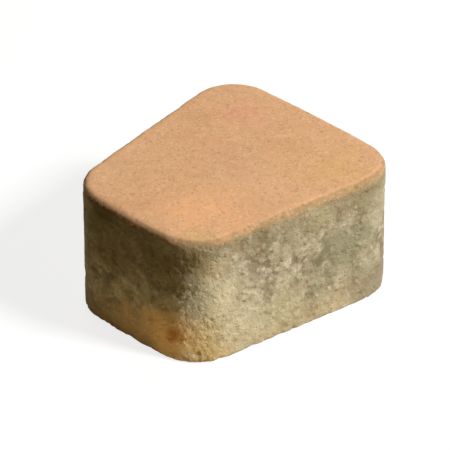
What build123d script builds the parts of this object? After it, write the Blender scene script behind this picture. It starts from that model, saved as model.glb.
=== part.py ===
from build123d import *

import os

# Trapezoidal concrete paving stone, pressed in one piece.
# Seen from above it is an isosceles trapezoid with generously rounded corners.
# The two parallel ends bow outwards a little and the two slanting sides hardly
# at all, and each wall stands furthest out near its middle.
# The top, or wear face, is flat with a small rounded arris all round.
# The underside, or bed face, is flat with a narrow rounded edge.
#
# Frame: the origin is at the middle of the bed face's bounding box.
# +Z is up through the wear face, and +Y runs from the narrow end to the wide end.
# All lengths are in millimetres.

# Length over both bowed ends, and the widths of the ends before the corners are rounded.
STONE_LENGTH = 113.0
WIDE_END_WIDTH = 106.0
NARROW_END_WIDTH = 73.5
STONE_THICKNESS = 60.0

# How far the middle of each wall stands out from the line between its corners.
END_BOW = 2.0
SIDE_BOW = 0.4

# Roundings of the four upright corners, of the wear face's arris and of the bed face's edge.
CORNER_RADIUS = 18.0
ARRIS_RADIUS = 3.0
BED_EDGE_RADIUS = 1.0

STONE_NAME = "paving_stone"
PARTS_FOLDER = "parts"


def outline() -> Sketch:
    """Return the plan outline as a face on the XY plane, with the narrow end at -Y."""
    corner_y = STONE_LENGTH / 2 - END_BOW
    narrow_x = NARROW_END_WIDTH / 2
    wide_x = WIDE_END_WIDTH / 2
    with BuildSketch() as plan:
        with BuildLine():
            SagittaArc((-narrow_x, -corner_y), (narrow_x, -corner_y), -END_BOW)
            SagittaArc((narrow_x, -corner_y), (wide_x, corner_y), -SIDE_BOW)
            SagittaArc((wide_x, corner_y), (-wide_x, corner_y), -END_BOW)
            SagittaArc((-wide_x, corner_y), (-narrow_x, -corner_y), -SIDE_BOW)
        make_face()
        fillet(plan.vertices(), radius=CORNER_RADIUS)
    return plan.sketch


def paving_stone() -> Part:
    """Return the solid stone standing on the XY plane."""
    with BuildPart() as stone:
        add(outline())
        extrude(amount=STONE_THICKNESS)
        bed_face = stone.faces().sort_by(Axis.Z)[0]
        wear_face = stone.faces().sort_by(Axis.Z)[-1]
        fillet(wear_face.edges(), radius=ARRIS_RADIUS)
        fillet(bed_face.edges(), radius=BED_EDGE_RADIUS)
    return stone.part


os.makedirs(PARTS_FOLDER, exist_ok=True)
export_step(paving_stone(), os.path.join(PARTS_FOLDER, STONE_NAME + ".step"))
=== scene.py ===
import logging
import math
import random
from dataclasses import dataclass
from enum import Enum
from functools import cached_property
from typing import Iterable, Optional, Sequence, Union

import bmesh
import bpy
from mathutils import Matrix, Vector, kdtree, noise


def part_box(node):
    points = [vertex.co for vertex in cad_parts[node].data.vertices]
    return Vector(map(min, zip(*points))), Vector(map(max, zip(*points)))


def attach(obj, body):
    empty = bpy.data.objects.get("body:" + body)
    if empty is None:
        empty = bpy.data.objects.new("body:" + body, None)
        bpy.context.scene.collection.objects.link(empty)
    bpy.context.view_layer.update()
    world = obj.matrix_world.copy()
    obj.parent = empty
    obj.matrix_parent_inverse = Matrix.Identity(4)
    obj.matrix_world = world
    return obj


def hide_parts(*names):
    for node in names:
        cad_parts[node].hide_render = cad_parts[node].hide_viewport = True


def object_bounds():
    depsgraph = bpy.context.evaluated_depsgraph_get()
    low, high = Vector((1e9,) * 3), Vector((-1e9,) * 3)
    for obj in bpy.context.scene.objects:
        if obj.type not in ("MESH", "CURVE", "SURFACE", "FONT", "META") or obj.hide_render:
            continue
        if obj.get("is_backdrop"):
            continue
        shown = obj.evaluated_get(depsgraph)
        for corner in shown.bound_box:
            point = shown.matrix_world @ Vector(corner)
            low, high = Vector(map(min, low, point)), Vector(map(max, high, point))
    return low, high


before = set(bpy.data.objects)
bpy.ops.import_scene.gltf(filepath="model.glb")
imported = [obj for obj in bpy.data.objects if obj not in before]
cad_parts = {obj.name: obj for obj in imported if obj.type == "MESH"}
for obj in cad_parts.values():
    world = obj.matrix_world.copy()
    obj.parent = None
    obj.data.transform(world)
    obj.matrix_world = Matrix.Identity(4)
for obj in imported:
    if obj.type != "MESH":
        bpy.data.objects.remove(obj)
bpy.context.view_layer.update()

LOG = logging.getLogger("paving_stone")
MM = 0.001
MICRON = 0.001 * MM
STONE_NODE = "paving_stone"
BODY = "root"
SLOT = "pressed_concrete"

Socket = bpy.types.NodeSocket
Feed = Union[float, tuple, Socket]
Colour = tuple[float, float, float]
WHITE: Colour = (1.0, 1.0, 1.0)


def srgb(red: int, green: int, blue: int) -> Colour:
    """Turn a colour as seen on screen, from 0 to 255, into the linear one that a shader takes."""
    shares = (red / 255, green / 255, blue / 255)
    return tuple(c / 12.92 if c <= 0.04045 else ((c + 0.055) / 1.055) ** 2.4 for c in shares)


def layered_noise(point: Vector, octaves: int) -> float:
    """Noise about zero of several scales, each half as large and strong as the one before."""
    return noise.fractal(point, 1.0, 2.0, octaves)


@dataclass(frozen=True)
class Ramp:
    """A smooth rise from least, where a value is at start, to most, where it is at full."""

    start: float
    full: float
    least: float = 0.0
    most: float = 1.0

    def at(self, value: float) -> float:
        """Follow the ramp, held at its ends outside it."""
        share = min(max((value - self.start) / (self.full - self.start), 0.0), 1.0)
        return self.least + (self.most - self.least) * share * share * (3 - 2 * share)

    def raised(self, height: float) -> "Ramp":
        """Give the same ramp, moved up by a height."""
        return Ramp(self.start + height, self.full + height, self.least, self.most)


class Zone(Enum):
    """A part of the stone's skin with a texture of its own."""

    WEAR_FACE = "wear face"
    ARRIS = "arris"
    WALL = "wall"
    LOWER_EDGE = "lower edge"
    BED_FACE = "bed face"


@dataclass(frozen=True)
class StoneSizes:
    """The mould's sizes in metres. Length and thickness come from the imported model."""

    length: float
    thickness: float
    wide_end: float = 106.0 * MM
    narrow_end: float = 73.5 * MM
    end_bow: float = 2.0 * MM
    side_bow: float = 0.4 * MM
    corner_radius: float = 18.0 * MM
    arris_radius: float = 3.0 * MM
    bed_edge_radius: float = 1.0 * MM
    facing_depth: float = 2.4 * MM

    @classmethod
    def from_frame(cls) -> "StoneSizes":
        """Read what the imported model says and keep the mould's own values for the rest."""
        low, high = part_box(STONE_NODE)
        return cls(length=high.y - low.y, thickness=high.z - low.z)

    @property
    def corner_y(self) -> float:
        """Distance from the middle to the line through two corners of one end."""
        return self.length / 2 - self.end_bow

    def half_width(self, y: float) -> float:
        """Half the width at a place along the stone, narrow end negative, before the walls are bowed."""
        share = (y / self.corner_y + 1) / 2
        return (self.narrow_end + (self.wide_end - self.narrow_end) * share) / 2

    @property
    def taper(self) -> float:
        """Angle in radians between one side line and the long axis."""
        return math.atan2((self.wide_end - self.narrow_end) / 2, 2 * self.corner_y)


@dataclass
class PressedBlock:
    """The plain block as it leaves the mould, before its skin is made rough."""

    sizes: StoneSizes
    corner_steps: int = 14
    wall_cuts: int = 15
    arris_steps: int = 6
    bed_edge_steps: int = 2
    round_profile: float = 0.5
    longest_corner_step: float = 20 * MM
    height_slack: float = 0.01 * MM

    def build(self, name: str) -> bpy.types.Object:
        """Shape the block and link it to the scene.

        Args:
            name: the object's name.

        Returns:
            The object, with its place in its mesh.
        """
        shape = bmesh.new()
        self._outline(shape)
        self._raise_walls(shape)
        self._bow_walls(shape)
        self._round_rim(shape, self.sizes.thickness, self.sizes.arris_radius, self.arris_steps)
        self._round_rim(shape, 0.0, self.sizes.bed_edge_radius, self.bed_edge_steps)
        mesh = bpy.data.meshes.new(name)
        shape.to_mesh(mesh)
        shape.free()
        block = bpy.data.objects.new(name, mesh)
        bpy.context.scene.collection.objects.link(block)
        return block

    def _outline(self, shape: bmesh.types.BMesh) -> None:
        """Draw the trapezoid on the ground and round its four corners.

        Args:
            shape: the empty shape to draw in.
        """
        sizes = self.sizes
        ends = {}
        for end in (-1, 1):
            y = end * sizes.corner_y
            half = sizes.half_width(y)
            ends[end] = [shape.verts.new((-side * end * half, y, 0.0)) for side in (1, -1)]
        shape.faces.new(ends[-1] + ends[1])
        for end, verts in ends.items():
            turn = math.pi / 2 + end * sizes.taper
            cut_back = sizes.corner_radius * math.tan(turn / 2)
            bmesh.ops.bevel(
                shape, geom=verts, offset=cut_back, offset_type="OFFSET", segments=self.corner_steps,
                profile=self.round_profile, affect="VERTICES", material=-1, clamp_overlap=False)
        straight = [edge for edge in shape.edges if edge.calc_length() > self.longest_corner_step]
        bmesh.ops.subdivide_edges(shape, edges=straight, cuts=self.wall_cuts)

    def _raise_walls(self, shape: bmesh.types.BMesh) -> None:
        """Raise the outline to the stone's thickness.

        Args:
            shape: the shape that holds the outline.
        """
        raised = bmesh.ops.extrude_face_region(shape, geom=shape.faces[:])["geom"]
        top = [item for item in raised if isinstance(item, bmesh.types.BMVert)]
        bmesh.ops.translate(shape, verts=top, vec=(0, 0, self.sizes.thickness))
        bmesh.ops.recalc_face_normals(shape, faces=shape.faces[:])

    def _bow_walls(self, shape: bmesh.types.BMesh) -> None:
        """Push the middle of each wall outwards and leave the corners where they are.

        Args:
            shape: the raised shape.
        """
        sizes = self.sizes
        for vert in shape.verts:
            along = vert.co.y / sizes.corner_y
            across = vert.co.x / sizes.half_width(vert.co.y)
            vert.co.x += sizes.side_bow * across * (1 - along * along)
            vert.co.y += sizes.end_bow * along * (1 - across * across)

    def _round_rim(self, shape: bmesh.types.BMesh, height: float, radius: float, steps: int) -> None:
        """Round the closed edge that runs round the block at one height.

        Args:
            shape: the raised shape.
            height: where the edge runs.
            radius: the radius of the rounding.
            steps: how many faces it is made of.
        """
        slack = self.height_slack
        rim = [edge for edge in shape.edges if all(abs(v.co.z - height) < slack for v in edge.verts)]
        bmesh.ops.bevel(
            shape, geom=rim, offset=radius, offset_type="OFFSET", segments=steps,
            profile=self.round_profile, affect="EDGES", material=-1, clamp_overlap=False)


@dataclass(frozen=True)
class Grit:
    """One scale of unevenness: noise of a given feature size and depth."""

    feature: float
    depth: float
    octaves: int = 1
    stretch: float = 1.0

    def height(self, place: Vector) -> float:
        """Height of this unevenness at a place.

        Args:
            place: a point in metres.

        Returns:
            Metres outwards, negative inwards.
        """
        point = Vector((place.x, place.y, place.z / self.stretch)) / self.feature
        if self.octaves == 1:
            return self.depth * noise.noise(point)
        return self.depth * layered_noise(point, self.octaves)


class Draw(Enum):
    """A grain's own draws, each with a rate of its own so that they are independent."""

    PRESENCE = 97.3
    RADIUS = 41.7
    REACH = 29.9
    TONE = 13.1

    def of(self, centre: Vector) -> float:
        """Draw for the grain with this centre, from -1 to 1."""
        return noise.cell(centre * self.value)


@dataclass(frozen=True)
class Grains:
    """Aggregate of one size, flattened where it lay against the mould. Radii are shares of the size."""

    size: float
    share: float
    seed: float
    crooked: float = 0.30
    crook_rate: float = 1.7
    least_radius: float = 0.42
    radius_spread: float = 0.20
    middle_reach: float = 0.65
    reach_spread: float = 0.35
    flatness: float = 1.5
    tone_rise: float = 4.0

    def at(self, place: Vector) -> tuple[float, float]:
        """Find the grain at a place.

        Args:
            place: a point in metres.

        Returns:
            How far the grain fills the open texture there, from 0 to 1, and its tone from -1 to 1.
        """
        point = place / self.size + Vector((self.seed, self.seed, self.seed))
        point += self.crooked * noise.noise_vector(self.crook_rate * point)
        distances, centres = noise.voronoi(point)
        centre = centres[0]
        if Draw.PRESENCE.of(centre) > 2 * self.share - 1:
            return 0.0, 0.0
        radius = self.least_radius + self.radius_spread * abs(Draw.RADIUS.of(centre))
        dome = max(0.0, 1 - (distances[0] / radius) ** 2)
        reach = self.middle_reach + self.reach_spread * Draw.REACH.of(centre)
        filled = reach * min(1.0, self.flatness * math.sqrt(dome))
        return filled, Draw.TONE.of(centre) * min(1.0, self.tone_rise * dome)


@dataclass(frozen=True)
class OpenTexture:
    """Patches where the mix did not close against the mould, so that its grains show."""

    feature: float
    opening: Ramp
    depth: float
    octaves: int = 3

    def share(self, place: Vector) -> float:
        """Say how open the texture is at a place, from 0 to 1."""
        return self.opening.at(layered_noise(place / self.feature, self.octaves))


@dataclass(frozen=True)
class Pits:
    """A family of air holes or chips in one zone.

    Smallest and largest are radii, and a size_bias above 1 makes the small ones commoner.
    """

    zone: Zone
    count: int
    smallest: float
    largest: float
    depth_share: float
    seed: int
    size_bias: float = 2.5
    shallowest: float = 0.5
    search_share: float = 1.7
    raggedness: float = 0.8
    ragged_rate: float = 0.8
    ragged_spread: float = 50.0


@dataclass
class Skin:
    """Turns the plain block into pressed concrete: fine on the wear face, coarse elsewhere.

    The fields that end in from say how much of a normal points up, or down, on the wear or bed face.
    """

    sizes: StoneSizes
    mesh_step: float = 0.7 * MM
    noise_seed: int = 7
    wear_face_from: float = 0.97
    bed_face_from: float = 0.9
    lower_edge_share: float = 3.0
    facing_band: float = 3.0 * MM
    facing_line: tuple[Grit, ...] = (
        Grit(7 * MM, 0.8 * MM, 4),
        Grit(38 * MM, 0.6 * MM),
    )
    fine_share: Ramp = Ramp(0.42, 0.62)
    up_share: Ramp = Ramp(0.90, 1.0)
    down_share: Ramp = Ramp(0.75, 0.98)
    closed_tone: float = 0.35
    wear_face: tuple[Grit, ...] = (
        Grit(34 * MM, 0.16 * MM, 3),
        Grit(5.0 * MM, 0.05 * MM, 2),
        Grit(1.7 * MM, 0.045 * MM),
    )
    arris: tuple[Grit, ...] = (
        Grit(9.0 * MM, 0.20 * MM, 2),
        Grit(2.2 * MM, 0.10 * MM),
    )
    wall: tuple[Grit, ...] = (
        Grit(21 * MM, 0.14 * MM, 2),
        Grit(1.6 * MM, 0.09 * MM),
        Grit(2.6 * MM, 0.06 * MM, 1, 9.0),
    )
    bed_face: tuple[Grit, ...] = (
        Grit(15 * MM, 0.16 * MM, 2),
        Grit(2.0 * MM, 0.10 * MM),
    )
    open_wall: OpenTexture = OpenTexture(7.5 * MM, Ramp(-0.16, 0.34), 0.38 * MM)
    open_bed: OpenTexture = OpenTexture(8.0 * MM, Ramp(-0.30, 0.25), 0.60 * MM)
    grains: tuple[Grains, ...] = (
        Grains(5.4 * MM, 0.55, 3.7, 0.22),
        Grains(3.4 * MM, 0.85, 11.2, 0.16),
    )
    pits: tuple[Pits, ...] = (
        Pits(Zone.WEAR_FACE, 50, 0.5 * MM, 0.9 * MM, 0.30, 5),
        Pits(Zone.ARRIS, 36, 0.5 * MM, 1.1 * MM, 0.30, 17),
        Pits(Zone.WALL, 130, 0.5 * MM, 1.5 * MM, 0.40, 29),
        Pits(Zone.LOWER_EDGE, 28, 0.6 * MM, 1.5 * MM, 0.30, 43),
        Pits(Zone.BED_FACE, 120, 0.6 * MM, 2.0 * MM, 0.45, 61),
    )

    def apply(self, block: bpy.types.Object) -> None:
        """Give the block its even mesh, its relief and the attributes that its finish reads.

        Args:
            block: the plain block, which keeps its object and gets a new mesh.
        """
        noise.seed_set(self.noise_seed)
        self._even_mesh(block)
        mesh = block.data
        places = [vert.co.copy() for vert in mesh.vertices]
        normals = [vert.normal.copy() for vert in mesh.vertices]
        zones = [self._zone(place, normal) for place, normal in zip(places, normals)]
        moves = [Vector() for _ in places]
        tones = [0.0] * len(places)
        cavities = [0.0] * len(places)
        for index, (place, normal) in enumerate(zip(places, normals)):
            height, tones[index], cavities[index] = self._relief(place, normal)
            moves[index] = normal * height
        self._cut_pits(places, normals, zones, moves, cavities)
        for index, vert in enumerate(mesh.vertices):
            vert.co = places[index] + moves[index]
            vert.co.z = max(vert.co.z, 0.0)
        facing = [self._facing(place) for place in places]
        for name, values in (("facing", facing), ("hollow_shade", cavities), ("grain", tones)):
            mesh.attributes.new(name, "FLOAT", "POINT").data.foreach_set("value", values)
        mesh.update()

    def _even_mesh(self, block: bpy.types.Object) -> None:
        """Replace the block's mesh by one of small, even faces, the same on every run.

        Args:
            block: the plain block.
        """
        remesh = block.modifiers.new("even_mesh", "REMESH")
        remesh.mode = "VOXEL"
        remesh.voxel_size = self.mesh_step
        remesh.use_smooth_shade = True
        state = bpy.context.evaluated_depsgraph_get()
        even = bpy.data.meshes.new_from_object(block.evaluated_get(state))
        self._put_in_order(even)
        block.modifiers.clear()
        plain = block.data
        even.name = plain.name
        block.data = even
        bpy.data.meshes.remove(plain)

    def _put_in_order(self, mesh: bpy.types.Mesh) -> None:
        """Number points and faces by place, because the remesh numbers them differently on each run.

        Args:
            mesh: the even mesh.
        """
        shape = bmesh.new()
        shape.from_mesh(mesh)
        by_place = sorted(shape.verts, key=lambda vert: [round(value / MICRON) for value in vert.co.zyx])
        for rank, vert in enumerate(by_place):
            vert.index = rank
        by_corners = sorted(shape.faces, key=lambda face: sorted(vert.index for vert in face.verts))
        for rank, face in enumerate(by_corners):
            face.index = rank
        shape.verts.sort()
        shape.faces.sort()
        shape.to_mesh(mesh)
        shape.free()

    def _zone(self, place: Vector, normal: Vector) -> Zone:
        """Name the zone that a point of the skin lies in.

        Args:
            place: the point.
            normal: the outward normal there.

        Returns:
            The zone.
        """
        if normal.z > self.wear_face_from:
            return Zone.WEAR_FACE
        if normal.z < -self.bed_face_from:
            return Zone.BED_FACE
        if place.z > self.sizes.thickness - self.sizes.arris_radius:
            return Zone.ARRIS
        if place.z < self.lower_edge_share * self.sizes.bed_edge_radius:
            return Zone.LOWER_EDGE
        return Zone.WALL

    def _boundary(self, place: Vector) -> float:
        """Find the ragged line where the facing mix ends on the walls.

        Args:
            place: a point of the walls.

        Returns:
            The height of the line straight above or below that point.
        """
        level = self.sizes.thickness - self.sizes.facing_depth
        around = Vector((place.x, place.y, 0.0))
        return sum((grit.height(around) for grit in self.facing_line), level)

    def _facing(self, place: Vector) -> float:
        """Say how deep in the facing mix a point lies: 1 inside, 0.5 on its lower line, 0 below."""
        share = (place.z - self._boundary(place)) / (2 * self.facing_band) + 0.5
        return min(max(share, 0.0), 1.0)

    def _relief(self, place: Vector, normal: Vector) -> tuple[float, float, float]:
        """Work out the relief at a point of the plain block.

        Args:
            place: the point.
            normal: the outward normal there.

        Returns:
            Metres outwards, the tone of the grain there, and how deep between the grains the point lies.
        """
        fine = self.fine_share.at(self._facing(place))
        up = self.up_share.at(normal.z)
        fine_height = up * sum(grit.height(place) for grit in self.wear_face)
        fine_height += (1 - up) * sum(grit.height(place) for grit in self.arris)
        if fine == 1:
            return fine_height, 0.0, 0.0
        height, tone, hollow_shade = self._coarse_relief(place, self.down_share.at(-normal.z))
        return fine * fine_height + (1 - fine) * height, tone * (1 - fine), hollow_shade * (1 - fine)

    def _coarse_relief(self, place: Vector, down: float) -> tuple[float, float, float]:
        """Work out the relief of the body mix: pressed skin with open patches in it.

        Args:
            place: the point.
            down: 1 on the bed face, 0 on the walls.

        Returns:
            Metres outwards, the tone of the grain there, and how deep between the grains the point lies.
        """
        filled, tone = 0.0, 0.0
        for grains in self.grains:
            fill, grain_tone = grains.at(place)
            if fill > filled:
                filled, tone = fill, grain_tone
        wall_share, bed_share = self.open_wall.share(place), self.open_bed.share(place)
        opened = wall_share + down * (bed_share - wall_share)
        depth = self.open_wall.depth + down * (self.open_bed.depth - self.open_wall.depth)
        height = -depth * opened * (1 - filled)
        height += (1 - down) * sum(grit.height(place) for grit in self.wall)
        height += down * sum(grit.height(place) for grit in self.bed_face)
        tone *= self.closed_tone + (1 - self.closed_tone) * opened
        return height, tone, opened * (1 - filled)

    def _cut_pits(self, places: Sequence[Vector], normals: Sequence[Vector], zones: Sequence[Zone],
                  moves: Sequence[Vector], cavities: list[float]) -> None:
        """Press every family of pits into the skin.

        Args:
            places: the points of the plain skin.
            normals: their outward normals.
            zones: the zone of each point.
            moves: the move of each point, which the pits deepen.
            cavities: how deep in a hollow each point lies, from 0 to 1, which the pits raise.
        """
        tree = kdtree.KDTree(len(places))
        for index, place in enumerate(places):
            tree.insert(place, index)
        tree.balance()
        members = {zone: [] for zone in Zone}
        for index, zone in enumerate(zones):
            members[zone].append(index)
        for family in self.pits:
            draw = random.Random(family.seed)
            for _ in range(family.count):
                centre = draw.choice(members[family.zone])
                size_share = draw.random() ** family.size_bias
                radius = family.smallest + (family.largest - family.smallest) * size_share
                depth = 2 * radius * family.depth_share * draw.uniform(family.shallowest, 1.0)
                offset = Vector((draw.uniform(0, family.ragged_spread), 0, 0))
                for place, index, distance in tree.find_range(places[centre], family.search_share * radius):
                    ragged = noise.noise(place / radius * family.ragged_rate + offset)
                    edge = radius * (1 + family.raggedness * ragged)
                    bowl = max(0.0, 1 - (distance / edge) ** 2)
                    moves[index] -= normals[centre] * depth * bowl
                    cavities[index] = max(cavities[index], bowl)


@dataclass(frozen=True)
class Cloud:
    """Soft noise for a material: its largest feature in metres, and what is added to that."""

    feature: float
    detail: float = 2.0
    roughness: float = 0.5
    distortion: float = 0.0
    offset: tuple[float, float, float] = (0.0, 0.0, 0.0)


class ShaderSheet:
    """Adds and links the nodes of one node tree. Its patterns lie on Object coordinates, in metres."""

    def __init__(self, tree: bpy.types.NodeTree) -> None:
        """Take a tree and remove its nodes."""
        self.tree = tree
        self.tree.nodes.clear()

    def feed(self, socket: Socket, value: Feed) -> None:
        """Link a socket to another, or set its value.

        Args:
            socket: the input.
            value: an output socket, a number or a colour.
        """
        if isinstance(value, Socket):
            self.tree.links.new(value, socket)
        elif isinstance(value, tuple) and socket.type == "RGBA":
            socket.default_value = (*value[:3], 1.0)
        else:
            socket.default_value = value

    def node(self, kind: str, feeds: Optional[dict[str, Feed]] = None,
             **settings: object) -> bpy.types.Node:
        """Add a node.

        Args:
            kind: the node's type.
            feeds: what goes into its inputs, by name.
            settings: its own settings.

        Returns:
            The node.
        """
        made = self.tree.nodes.new(kind)
        for name, value in settings.items():
            setattr(made, name, value)
        for name, value in (feeds or {}).items():
            self.feed(made.inputs[name], value)
        return made

    def attribute(self, name: str) -> Socket:
        """Read a number that is stored on the mesh."""
        made = self.node("ShaderNodeAttribute", attribute_type="GEOMETRY", attribute_name=name)
        return made.outputs["Fac"]

    @cached_property
    def place(self) -> Socket:
        """Object coordinates."""
        return self.node("ShaderNodeTexCoord").outputs["Object"]

    @cached_property
    def height(self) -> Socket:
        """Height above the ground."""
        return self.node("ShaderNodeSeparateXYZ", {"Vector": self.place}).outputs["Z"]

    def noise(self, cloud: Cloud) -> Socket:
        """Add noise of a real feature size.

        Args:
            cloud: the noise's size and make-up.

        Returns:
            The noise, from 0 to 1.
        """
        place = self.place
        if any(cloud.offset):
            moved = self.node("ShaderNodeMapping", {"Vector": place, "Location": cloud.offset})
            place = moved.outputs["Vector"]
        feeds = {"Vector": place, "Scale": 1 / cloud.feature, "Detail": cloud.detail,
                 "Roughness": cloud.roughness, "Distortion": cloud.distortion}
        return self.node("ShaderNodeTexNoise", feeds, noise_dimensions="3D").outputs["Fac"]

    def swing(self, cloud: Cloud, span: float) -> Socket:
        """Add noise that swings about zero, over a whole width of span."""
        about_zero = self.math("SUBTRACT", self.noise(cloud), 0.5)
        return self.math("MULTIPLY", about_zero, span)

    def cells(self, size: float) -> bpy.types.Node:
        """Add grains of a real size: the Distance output is 0 in the middle of a grain."""
        feeds = {"Vector": self.place, "Scale": 1 / size}
        return self.node("ShaderNodeTexVoronoi", feeds, voronoi_dimensions="3D")

    def draws(self, cells: bpy.types.Node) -> bpy.types.bpy_prop_collection:
        """Each grain's own draws from 0 to 1, by the names Red, Green and Blue."""
        return self.node("ShaderNodeSeparateColor", {"Color": cells.outputs["Color"]}).outputs

    def math(self, operation: str, first: Feed, second: Feed) -> Socket:
        """Combine two numbers.

        Args:
            operation: the Math node's operation.
            first: the first number.
            second: the second number.

        Returns:
            The result.
        """
        made = self.node("ShaderNodeMath", operation=operation)
        self.feed(made.inputs[0], first)
        self.feed(made.inputs[1], second)
        return made.outputs[0]

    def total(self, values: Sequence[Feed]) -> Feed:
        """Add up numbers.

        Args:
            values: the numbers, at least one.

        Returns:
            Their sum.
        """
        result = values[0]
        for value in values[1:]:
            result = self.math("ADD", result, value)
        return result

    def rise(self, value: Feed, ramp: Ramp) -> Socket:
        """Follow a ramp with a number.

        Args:
            value: the number.
            ramp: the ramp.

        Returns:
            The result, held at its ends outside the ramp.
        """
        feeds = {"Value": value, "From Min": ramp.start, "From Max": ramp.full,
                 "To Min": ramp.least, "To Max": ramp.most}
        made = self.node("ShaderNodeMapRange", feeds, interpolation_type="SMOOTHSTEP", clamp=True)
        return made.outputs["Result"]

    def mix(self, share: Feed, first: Feed, second: Feed) -> Socket:
        """Mix two colours.

        Args:
            share: how much of the second colour, from 0 to 1.
            first: the colour below.
            second: the colour above.

        Returns:
            The mixed colour.
        """
        made = self.node("ShaderNodeMix", data_type="RGBA", blend_type="MIX")
        by_name = {socket.identifier: socket for socket in made.inputs}
        self.feed(by_name["Factor_Float"], share)
        self.feed(by_name["A_Color"], first)
        self.feed(by_name["B_Color"], second)
        return next(socket for socket in made.outputs if socket.identifier == "Result_Color")

    def shade(self, colour: Feed, value: Feed) -> Socket:
        """Make a colour lighter or darker: a value of 1 leaves it as it is."""
        return self.node("ShaderNodeHueSaturation", {"Color": colour, "Value": value}).outputs["Color"]


@dataclass(frozen=True)
class TintPatch:
    """A soft patch of another tone. A place without a height lies on the wear face."""

    place: tuple[float, ...]
    reach: float
    colour: Colour
    strength: float
    core_share: float = 0.15
    ragged: Cloud = Cloud(13 * MM, 3, 0.6)
    ragged_share: float = 1.1

    @property
    def fade(self) -> Ramp:
        """How the patch comes in, from its reach to its core."""
        return Ramp(self.reach, self.core_share * self.reach, most=self.strength)


@dataclass(frozen=True)
class FineRelief:
    """Relief that is finer than the mesh: noise, and its height in millimetres."""

    cloud: Cloud
    height: float


@dataclass(frozen=True)
class FineGrains:
    """Grains that are smaller than the mesh shows, and how strongly they tint the concrete."""

    size: float
    strength: float


@dataclass(frozen=True)
class FacingFinish:
    """The fine coloured mix of the wear face. Its rim band is measured upwards from that face."""

    base: Colour = srgb(219, 169, 124)
    pale: Colour = srgb(228, 181, 138)
    deep: Colour = srgb(208, 154, 108)
    clouds: Cloud = Cloud(24 * MM, 3, 0.55)
    pale_share: Ramp = Ramp(0.50, 0.75, most=0.55)
    deep_share: Ramp = Ramp(0.50, 0.25, most=0.50)
    # The darker arris is partly wear and partly painted shade: its colour dims the highlight that the key
    # lamp gives the rounded arris.
    rim: Colour = srgb(172, 141, 100)
    rim_band: Ramp = Ramp(-0.05 * MM, -0.7 * MM)
    rim_clouds: Cloud = Cloud(6 * MM, 3, 0.6)
    rim_share: Ramp = Ramp(0.35, 0.65, least=0.60)
    mottle: Cloud = Cloud(5 * MM, 4, 0.65)
    mottle_shade: Ramp = Ramp(0.3, 0.7, 0.95, 1.05)
    sand_size: float = 0.75 * MM
    light_sand: Colour = srgb(240, 214, 180)
    light_sand_share: Ramp = Ramp(0.80, 1.0, most=0.34)
    dark_sand: Colour = srgb(150, 104, 70)
    dark_sand_share: Ramp = Ramp(0.84, 1.0, most=0.34)
    # Painted shade: the pits and hollows are darkened towards the dark sand colour.
    pit_shade_strength: float = 0.45
    line_clouds: Cloud = Cloud(1.8 * MM, 3, 0.65)
    line_swing: float = 0.60
    line_share: Ramp = Ramp(0.44, 0.56)
    relief: tuple[FineRelief, ...] = (
        FineRelief(Cloud(0.6 * MM, 2, 0.6), 0.11),
        FineRelief(Cloud(1.8 * MM, 2, 0.5), 0.10),
    )
    # On the narrow end, which the key lamp leaves in shade, the arris is kept paler: the rim's painted
    # shade is lifted there.
    narrow_end_rim_lift: TintPatch = TintPatch((-6 * MM, -58 * MM), 36 * MM, srgb(214, 172, 132), 0.80)
    patches: tuple[TintPatch, ...] = (
        TintPatch((-24 * MM, 34 * MM), 17 * MM, srgb(226, 158, 128), 0.42),
        TintPatch((19 * MM, -32 * MM), 26 * MM, srgb(240, 179, 127), 0.68),
        TintPatch((33 * MM, 32 * MM), 20 * MM, srgb(220, 177, 112), 0.42),
        TintPatch((34 * MM, -47 * MM), 12 * MM, srgb(208, 172, 112), 0.62),
        TintPatch((-2 * MM, 4 * MM), 22 * MM, srgb(211, 160, 122), 0.45),
    )


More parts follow.
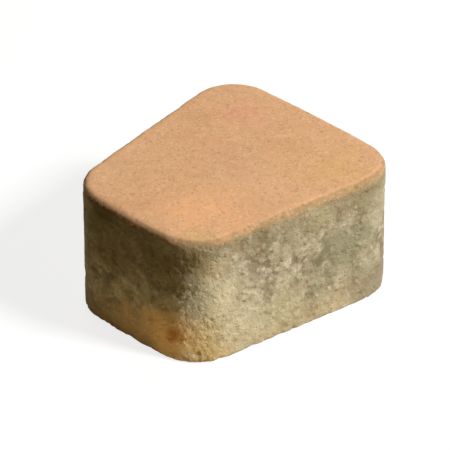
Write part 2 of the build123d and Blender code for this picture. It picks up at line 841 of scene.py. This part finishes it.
@dataclass(frozen=True)
class BodyFinish:
    """The coarse grey-brown mix of the walls and the underside.

    Its upper band is measured upwards from the wear face, its lower band from the bed face.
    """

    paste: Colour = srgb(175, 164, 137)
    pale: Colour = srgb(209, 200, 174)
    deep: Colour = srgb(134, 122, 95)
    blotches: Cloud = Cloud(8.0 * MM, 3, 0.55, 0.3)
    pale_share: Ramp = Ramp(0.49, 0.68)
    deep_share: Ramp = Ramp(0.49, 0.32)
    green: Colour = srgb(157, 161, 129)
    green_clouds: Cloud = Cloud(15 * MM, 2, 0.5)
    green_share: Ramp = Ramp(0.5, 0.72, most=0.6)
    brown: Colour = srgb(164, 140, 111)
    brown_clouds: Cloud = Cloud(19 * MM, 3, 0.6, offset=(0.31, 0.17, 0.05))
    brown_share: Ramp = Ramp(0.54, 0.74, most=0.6)
    light_grain: Colour = srgb(222, 212, 184)
    light_tone: Ramp = Ramp(0.15, 0.9, most=0.55)
    dark_grain: Colour = srgb(120, 108, 82)
    dark_tone: Ramp = Ramp(-0.15, -0.9, most=0.50)
    fine_grains: tuple[FineGrains, ...] = (FineGrains(2.6 * MM, 0.55), FineGrains(1.3 * MM, 0.45))
    dome_share: Ramp = Ramp(0.50, 0.22)
    dome_height: float = 0.065
    light_from: float = 0.62
    dark_from: float = 0.68
    # Painted shade: the hollows between the grains, and the pits, are darkened.
    hollow_shade: Colour = srgb(112, 99, 72)
    hollow_shade_share: Ramp = Ramp(0.15, 1.0, most=0.50)
    band_clouds: Cloud = Cloud(11 * MM, 3, 0.6)
    band_swing: float = 26 * MM
    upper: Colour = srgb(152, 131, 94)
    upper_band: Ramp = Ramp(-24 * MM, -5 * MM, most=0.50)
    lower: Colour = srgb(204, 184, 148)
    lower_band: Ramp = Ramp(20 * MM, 3 * MM, most=0.40)
    feather: Colour = srgb(182, 152, 106)
    feather_share: Ramp = Ramp(0.05, 0.5, most=0.55)
    relief: tuple[FineRelief, ...] = (
        FineRelief(Cloud(0.8 * MM, 3, 0.7), 0.30),
        FineRelief(Cloud(2.2 * MM, 3, 0.6), 0.19),
    )
    patches: tuple[TintPatch, ...] = (
        # The wall towards +X, with the upright corner where it meets the narrow end.
        TintPatch((48 * MM, 20 * MM, 30 * MM), 20 * MM, srgb(142, 140, 110), 0.65),
        TintPatch((50 * MM, 40 * MM, 6 * MM), 24 * MM, srgb(150, 142, 120), 0.75),
        TintPatch((50 * MM, 48 * MM, 44 * MM), 20 * MM, srgb(204, 192, 162), 0.55),
        # Painted light: the pale patches on and near the rounding of the upright corner lighten its lit
        # side, so that the step from shade to light looks crisper.
        TintPatch((39 * MM, -38 * MM, 30 * MM), 20 * MM, srgb(216, 203, 170), 0.75),
        TintPatch((39 * MM, -43 * MM, 34 * MM), 16 * MM, srgb(220, 205, 168), 0.25),
        TintPatch((42 * MM, -26 * MM, 12 * MM), 17 * MM, srgb(224, 213, 182), 0.48),
        # More painted light on the lit side of the corner's rounding.
        TintPatch((37 * MM, -46 * MM, 46 * MM), 9 * MM, srgb(226, 208, 162), 0.45),
        TintPatch((36 * MM, -47 * MM, 15 * MM), 10 * MM, srgb(232, 210, 150), 0.42),
        TintPatch((45 * MM, -6 * MM, 44 * MM), 10 * MM, srgb(152, 138, 106), 0.45),
        TintPatch((46 * MM, 10 * MM, 50 * MM), 13 * MM, srgb(196, 182, 144), 0.50),
        # Painted shade: a dark patch where the corner's rounding turns from the lit wall into shade.
        TintPatch((31 * MM, -51 * MM, 48 * MM), 12 * MM, srgb(118, 98, 44), 0.50),
        TintPatch((44 * MM, -8 * MM, 16 * MM), 16 * MM, srgb(206, 196, 160), 0.50),
        # The upper part of the narrow end.
        TintPatch((-14 * MM, -58 * MM, 46 * MM), 30 * MM, srgb(108, 88, 32), 0.70),
        TintPatch((19 * MM, -56 * MM, 44 * MM), 18 * MM, srgb(108, 91, 32), 0.70),
        TintPatch((-16 * MM, -57 * MM, 57 * MM), 14 * MM, srgb(90, 68, 24), 0.70),
        TintPatch((10 * MM, -58 * MM, 57 * MM), 14 * MM, srgb(90, 68, 24), 0.70),
        # Orange and brown staining low on the narrow end and on that corner.
        TintPatch((0 * MM, -56 * MM, 0 * MM), 26 * MM, srgb(226, 184, 134), 0.70),
        TintPatch((22 * MM, -55 * MM, 12 * MM), 18 * MM, srgb(252, 208, 150), 0.92),
        TintPatch((36 * MM, -46 * MM, 4 * MM), 15 * MM, srgb(216, 188, 126), 0.60),
        TintPatch((25 * MM, -54 * MM, 13 * MM), 6 * MM, srgb(186, 122, 60), 0.80),
    )


@dataclass
class ConcreteMaterial:
    """The stone's one material: facing mix above, body mix below, and a ragged line between them."""

    sizes: StoneSizes
    facing: FacingFinish = FacingFinish()
    body: BodyFinish = BodyFinish()
    roughness: float = 0.92
    gloss: float = 0.25
    relief_unit: float = 1 * MM

    def build(self) -> bpy.types.Material:
        """Make the material.

        Returns:
            The material, which reads Object coordinates and the attributes of the skin.
        """
        material = bpy.data.materials.new(SLOT)
        material.use_nodes = True
        sheet = ShaderSheet(material.node_tree)
        share = self._facing_share(sheet)
        facing_colour, facing_height = self._facing_mix(sheet)
        body_colour, body_height = self._body_mix(sheet)
        colour = sheet.mix(share, body_colour, facing_colour)
        rest = sheet.math("SUBTRACT", 1.0, share)
        height = sheet.math("ADD", sheet.math("MULTIPLY", facing_height, share),
                            sheet.math("MULTIPLY", body_height, rest))
        bump = sheet.node("ShaderNodeBump", {
            "Height": height, "Strength": 1.0, "Distance": self.relief_unit})
        shader = sheet.node("ShaderNodeBsdfPrincipled", {
            "Base Color": colour, "Roughness": self.roughness, "Specular IOR Level": self.gloss,
            "Normal": bump.outputs["Normal"]})
        output = sheet.node("ShaderNodeOutputMaterial")
        sheet.feed(output.inputs["Surface"], shader.outputs["BSDF"])
        return material

    def _facing_share(self, sheet: ShaderSheet) -> Socket:
        """Say where the facing mix shows, with a grainy lower line.

        Args:
            sheet: the sheet to add to.

        Returns:
            The share of the facing mix, from 0 to 1.
        """
        grainy = sheet.swing(self.facing.line_clouds, self.facing.line_swing)
        depth = sheet.math("ADD", sheet.attribute("facing"), grainy)
        return sheet.rise(depth, self.facing.line_share)

    def _facing_mix(self, sheet: ShaderSheet) -> tuple[Socket, Feed]:
        """Mix the facing's colour and fine relief.

        Args:
            sheet: the sheet to add to.

        Returns:
            The colour, and the height in millimetres.
        """
        finish = self.facing
        clouds = sheet.noise(finish.clouds)
        colour = sheet.mix(sheet.rise(clouds, finish.pale_share), finish.base, finish.pale)
        colour = sheet.mix(sheet.rise(clouds, finish.deep_share), colour, finish.deep)
        colour = self._patched(sheet, colour, finish.patches)
        colour = self._rim_wear_and_painted_shade(sheet, colour)
        colour = sheet.shade(colour, sheet.rise(sheet.noise(finish.mottle), finish.mottle_shade))
        draws = sheet.draws(sheet.cells(finish.sand_size))
        colour = sheet.mix(sheet.rise(draws["Red"], finish.light_sand_share), colour, finish.light_sand)
        colour = sheet.mix(sheet.rise(draws["Green"], finish.dark_sand_share), colour, finish.dark_sand)
        # Painted shade in the pits and hollows.
        pit_shade = sheet.math("MULTIPLY", sheet.attribute("hollow_shade"), finish.pit_shade_strength)
        colour = sheet.mix(pit_shade, colour, finish.dark_sand)
        return colour, self._fine_relief(sheet, finish.relief)

    def _rim_wear_and_painted_shade(self, sheet: ShaderSheet, colour: Feed) -> Socket:
        """Lay the darker arris over the facing mix: partly wear, partly painted shade that dims the
        highlight the key lamp gives the rounded arris, and paler on the narrow end.

        Args:
            sheet: the sheet to add to.
            colour: the colour below.

        Returns:
            The colour.
        """
        finish = self.facing
        on_rim = sheet.rise(sheet.height, finish.rim_band.raised(self.sizes.thickness))
        cloudy = sheet.rise(sheet.noise(finish.rim_clouds), finish.rim_share)
        # Paler on the narrow end, where the rim's painted shade is lifted.
        rim = sheet.mix(self._patch_share(sheet, finish.narrow_end_rim_lift), finish.rim, finish.narrow_end_rim_lift.colour)
        return sheet.mix(sheet.math("MULTIPLY", on_rim, cloudy), colour, rim)

    def _body_mix(self, sheet: ShaderSheet) -> tuple[Socket, Feed]:
        """Mix the body's colour and fine relief.

        Args:
            sheet: the sheet to add to.

        Returns:
            The colour, and the height in millimetres.
        """
        finish = self.body
        colour = self._paste(sheet)
        tone = sheet.attribute("grain")
        colour = sheet.mix(sheet.rise(tone, finish.light_tone), colour, finish.light_grain)
        colour = sheet.mix(sheet.rise(tone, finish.dark_tone), colour, finish.dark_grain)
        colour, domes = self._fine_grains(sheet, colour)
        # Painted shade in the hollows between the grains and in the pits.
        hollow = sheet.rise(sheet.attribute("hollow_shade"), finish.hollow_shade_share)
        colour = self._bands(sheet, sheet.mix(hollow, colour, finish.hollow_shade))
        colour = self._patched(sheet, colour, finish.patches)
        return colour, sheet.math("ADD", self._fine_relief(sheet, finish.relief), domes)

    def _paste(self, sheet: ShaderSheet) -> Socket:
        """Mix the pale, deep, green and brown areas of the cement paste.

        Args:
            sheet: the sheet to add to.

        Returns:
            The colour.
        """
        finish = self.body
        blotches = sheet.noise(finish.blotches)
        colour = sheet.mix(sheet.rise(blotches, finish.pale_share), finish.paste, finish.pale)
        colour = sheet.mix(sheet.rise(blotches, finish.deep_share), colour, finish.deep)
        greenish = sheet.rise(sheet.noise(finish.green_clouds), finish.green_share)
        brownish = sheet.rise(sheet.noise(finish.brown_clouds), finish.brown_share)
        return sheet.mix(brownish, sheet.mix(greenish, colour, finish.green), finish.brown)

    def _fine_grains(self, sheet: ShaderSheet, colour: Feed) -> tuple[Feed, Feed]:
        """Lay the fine grains over the body mix.

        Args:
            sheet: the sheet to add to.
            colour: the colour below.

        Returns:
            The colour, and the height of the grains in millimetres.
        """
        finish = self.body
        heights = []
        for grains in finish.fine_grains:
            cells = sheet.cells(grains.size)
            dome = sheet.rise(cells.outputs["Distance"], finish.dome_share)
            draws = sheet.draws(cells)
            light = sheet.rise(draws["Red"], Ramp(finish.light_from, 1.0, most=grains.strength))
            dark = sheet.rise(draws["Green"], Ramp(finish.dark_from, 1.0, most=grains.strength))
            colour = sheet.mix(sheet.math("MULTIPLY", dome, light), colour, finish.light_grain)
            colour = sheet.mix(sheet.math("MULTIPLY", dome, dark), colour, finish.dark_grain)
            heights.append(sheet.math("MULTIPLY", dome, finish.dome_height * grains.size / MM))
        return colour, sheet.total(heights)

    def _bands(self, sheet: ShaderSheet, colour: Feed) -> Socket:
        """Tint the upper and the lower part of the walls, and the strip just below the facing mix.

        Args:
            sheet: the sheet to add to.
            colour: the colour below.

        Returns:
            The colour.
        """
        finish = self.body
        level = sheet.math("ADD", sheet.height, sheet.swing(finish.band_clouds, finish.band_swing))
        upper = sheet.rise(level, finish.upper_band.raised(self.sizes.thickness))
        colour = sheet.mix(upper, colour, finish.upper)
        colour = sheet.mix(sheet.rise(level, finish.lower_band), colour, finish.lower)
        feathered = sheet.rise(sheet.attribute("facing"), finish.feather_share)
        return sheet.mix(feathered, colour, finish.feather)

    def _patched(self, sheet: ShaderSheet, colour: Feed, patches: Sequence[TintPatch]) -> Feed:
        """Lay tint patches over a colour.

        Args:
            sheet: the sheet to add to.
            colour: the colour below.
            patches: the patches, the lowest first.

        Returns:
            The colour.
        """
        for patch in patches:
            colour = sheet.mix(self._patch_share(sheet, patch), colour, patch.colour)
        return colour

    def _patch_share(self, sheet: ShaderSheet, patch: TintPatch) -> Socket:
        """Say where a tint patch shows, with a ragged outline.

        Args:
            sheet: the sheet to add to.
            patch: the patch.

        Returns:
            Its share of the colour, up to its strength.
        """
        gap = sheet.node("ShaderNodeVectorMath", operation="DISTANCE")
        sheet.feed(gap.inputs[0], sheet.place)
        gap.inputs[1].default_value = (*patch.place, self.sizes.thickness)[:3]
        ragged = sheet.swing(patch.ragged, patch.ragged_share * patch.reach)
        return sheet.rise(sheet.math("ADD", gap.outputs["Value"], ragged), patch.fade)

    def _fine_relief(self, sheet: ShaderSheet, layers: Sequence[FineRelief]) -> Feed:
        """Add up layers of fine relief, in millimetres."""
        heights = [sheet.math("MULTIPLY", sheet.noise(layer.cloud), layer.height) for layer in layers]
        return sheet.total(heights)


@dataclass
class PavingStone:
    """The whole stone, one pressed piece."""

    name: str = "paving_stone_pressed"

    def build(self) -> bpy.types.Object:
        """Shape, roughen and dress the stone, and let it stand for its plain solid.

        Returns:
            The stone's object.
        """
        sizes = StoneSizes.from_frame()
        stone = PressedBlock(sizes).build(self.name)
        Skin(sizes).apply(stone)
        stone.data.materials.append(ConcreteMaterial(sizes).build())
        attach(stone, BODY)
        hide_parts(STONE_NODE)
        return stone


@dataclass(frozen=True)
class SoftLamp:
    """A soft square lamp that looks at the stone.

    Azimuth is its angle from +X as seen from above, rise its angle above the floor, distance how far it
    hangs from the stone's middle, and size the length of its sides. Level is how brightly it lights a
    white surface that faces it, where 1 is white.
    """

    name: str
    azimuth: float
    rise: float
    distance: float
    size: float
    level: float


@dataclass
class Studio:
    """The floor, the surround, a soft key lamp, a weak fill lamp behind and the camera.

    As they are seen, the floor and the surround are white. As light, the surround is a low warm level,
    and the floor throws warm light back near the stone and little further out.
    """

    middle: Vector
    camera_azimuth: float = math.radians(-45.1)
    camera_rise: float = math.radians(33)
    camera_distance: float = 1.8536
    sensor_width: float = 36.0
    frame_share: float = 0.80
    lamps: tuple[SoftLamp, ...] = (
        SoftLamp("key", math.radians(19), math.radians(42), 1.7, 0.32, 1.15),
        SoftLamp("fill", math.radians(150), math.radians(28), 1.5, 1.0, 0.30),
    )
    ambient: Colour = (0.065, 0.048, 0.020)
    near_floor: Colour = (0.66, 0.51, 0.25)
    far_floor: Colour = (0.08, 0.06, 0.04)
    nearness: Ramp = Ramp(0.22, 0.13)
    seen_floor: Colour = (0.25, 0.25, 0.25)
    seen_glow: float = 0.80
    floor_drop: float = 0.1 * MM
    floor_reach: float = 30.0

    def build(self, stone_bounds: tuple[Sequence[float], Sequence[float]]) -> None:
        """Set up everything round the stone.

        Args:
            stone_bounds: the stone's lowest and highest corners.
        """
        self._floor()
        self._surround()
        for lamp in self.lamps:
            self._hang(lamp)
        self._camera(stone_bounds)
        bpy.context.scene.view_settings.view_transform = "Standard"

    def _towards(self, azimuth: float, rise: float) -> Vector:
        """Direction from the stone at an angle from +X and at a rise."""
        flat = math.cos(rise)
        return Vector((flat * math.cos(azimuth), flat * math.sin(azimuth), math.sin(rise)))

    def _seen(self, sheet: ShaderSheet) -> Socket:
        """Tell the rays that show the surround itself: from the camera, a reflection or through glass.

        Args:
            sheet: the sheet to add to.

        Returns:
            1 for those rays, 0 for rays that carry light.
        """
        rays = sheet.node("ShaderNodeLightPath").outputs
        clear = sheet.math("MAXIMUM", rays["Is Glossy Ray"], rays["Is Transmission Ray"])
        return sheet.math("MAXIMUM", rays["Is Camera Ray"], clear)

    def _floor(self) -> None:
        """Lay the floor just below the stone."""
        shape = bmesh.new()
        bmesh.ops.create_grid(shape, x_segments=1, y_segments=1, size=self.floor_reach)
        bmesh.ops.translate(shape, verts=shape.verts[:], vec=(0, 0, -self.floor_drop))
        mesh = bpy.data.meshes.new("floor")
        shape.to_mesh(mesh)
        shape.free()
        floor = bpy.data.objects.new("floor", mesh)
        bpy.context.scene.collection.objects.link(floor)
        mesh.materials.append(self._floor_material())
        floor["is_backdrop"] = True

    def _floor_material(self) -> bpy.types.Material:
        """Make a floor that is seen white with a soft shadow, and lights the stone warmly from nearby.

        Returns:
            The material.
        """
        material = bpy.data.materials.new("floor")
        material.use_nodes = True
        sheet = ShaderSheet(material.node_tree)
        away = sheet.node("ShaderNodeVectorMath", {"Vector": sheet.place}, operation="LENGTH")
        near = sheet.rise(away.outputs["Value"], self.nearness)
        thrown = sheet.mix(near, self.far_floor, self.near_floor)
        bounce = sheet.node("ShaderNodeBsdfDiffuse", {"Color": thrown})
        pale = sheet.node("ShaderNodeBsdfDiffuse", {"Color": self.seen_floor})
        glow = sheet.node("ShaderNodeEmission", {"Color": WHITE, "Strength": self.seen_glow})
        lit = sheet.node("ShaderNodeAddShader")
        sheet.feed(lit.inputs[0], pale.outputs["BSDF"])
        sheet.feed(lit.inputs[1], glow.outputs["Emission"])
        chosen = sheet.node("ShaderNodeMixShader", {"Fac": self._seen(sheet)})
        sheet.feed(chosen.inputs[1], bounce.outputs["BSDF"])
        sheet.feed(chosen.inputs[2], lit.outputs["Shader"])
        output = sheet.node("ShaderNodeOutputMaterial")
        sheet.feed(output.inputs["Surface"], chosen.outputs["Shader"])
        return material

    def _surround(self) -> None:
        """White all round as seen, a low warm level as light."""
        world = bpy.data.worlds.new("surround")
        world.use_nodes = True
        bpy.context.scene.world = world
        sheet = ShaderSheet(world.node_tree)
        colour = sheet.mix(self._seen(sheet), self.ambient, WHITE)
        light = sheet.node("ShaderNodeBackground", {"Color": colour, "Strength": 1.0})
        output = sheet.node("ShaderNodeOutputWorld")
        sheet.feed(output.inputs["Surface"], light.outputs["Background"])

    def _hang(self, lamp: SoftLamp) -> None:
        """Hang a lamp.

        Args:
            lamp: where it hangs, how large it is and how bright.
        """
        light = bpy.data.lights.new(lamp.name, "AREA")
        light.shape = "SQUARE"
        light.size = lamp.size
        light.energy = lamp.level * math.pi * lamp.distance ** 2 * math.pi
        hung = bpy.data.objects.new(lamp.name, light)
        away = self._towards(lamp.azimuth, lamp.rise)
        hung.location = self.middle + away * lamp.distance
        hung.rotation_euler = away.to_track_quat("Z", "Y").to_euler()
        bpy.context.scene.collection.objects.link(hung)

    def _camera(self, bounds: tuple[Sequence[float], Sequence[float]]) -> None:
        """Place the camera, with a lens that lets the stone fill its share of the frame's width.

        Args:
            bounds: the stone's lowest and highest corners.
        """
        lens = bpy.data.cameras.new("camera")
        camera = bpy.data.objects.new("camera", lens)
        away = self._towards(self.camera_azimuth, self.camera_rise)
        camera.location = self.middle + away * self.camera_distance
        turn = away.to_track_quat("Z", "Y")
        camera.rotation_euler = turn.to_euler()
        low, high = bounds
        across = turn @ Vector((1, 0, 0))
        spread = [across.dot(Vector((x, y, 0))) for x in (low[0], high[0]) for y in (low[1], high[1])]
        width = (max(spread) - min(spread)) / self.frame_share
        lens.sensor_width = self.sensor_width
        lens.lens = self.sensor_width * self.camera_distance / width
        lens.clip_end = 2 * self.floor_reach
        bpy.context.scene.collection.objects.link(camera)
        bpy.context.scene.camera = camera


def main() -> None:
    """Build the stone and log its faces, then the studio round it."""
    logging.basicConfig(level=logging.INFO, format="%(name)s: %(message)s")
    stone = PavingStone().build()
    LOG.info("%s: %d faces", stone.name, len(stone.data.polygons))
    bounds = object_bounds()
    low, high = (Vector(corner) for corner in bounds)
    Studio(middle=(low + high) / 2).build(bounds)


if __name__ == "__main__":
    main()
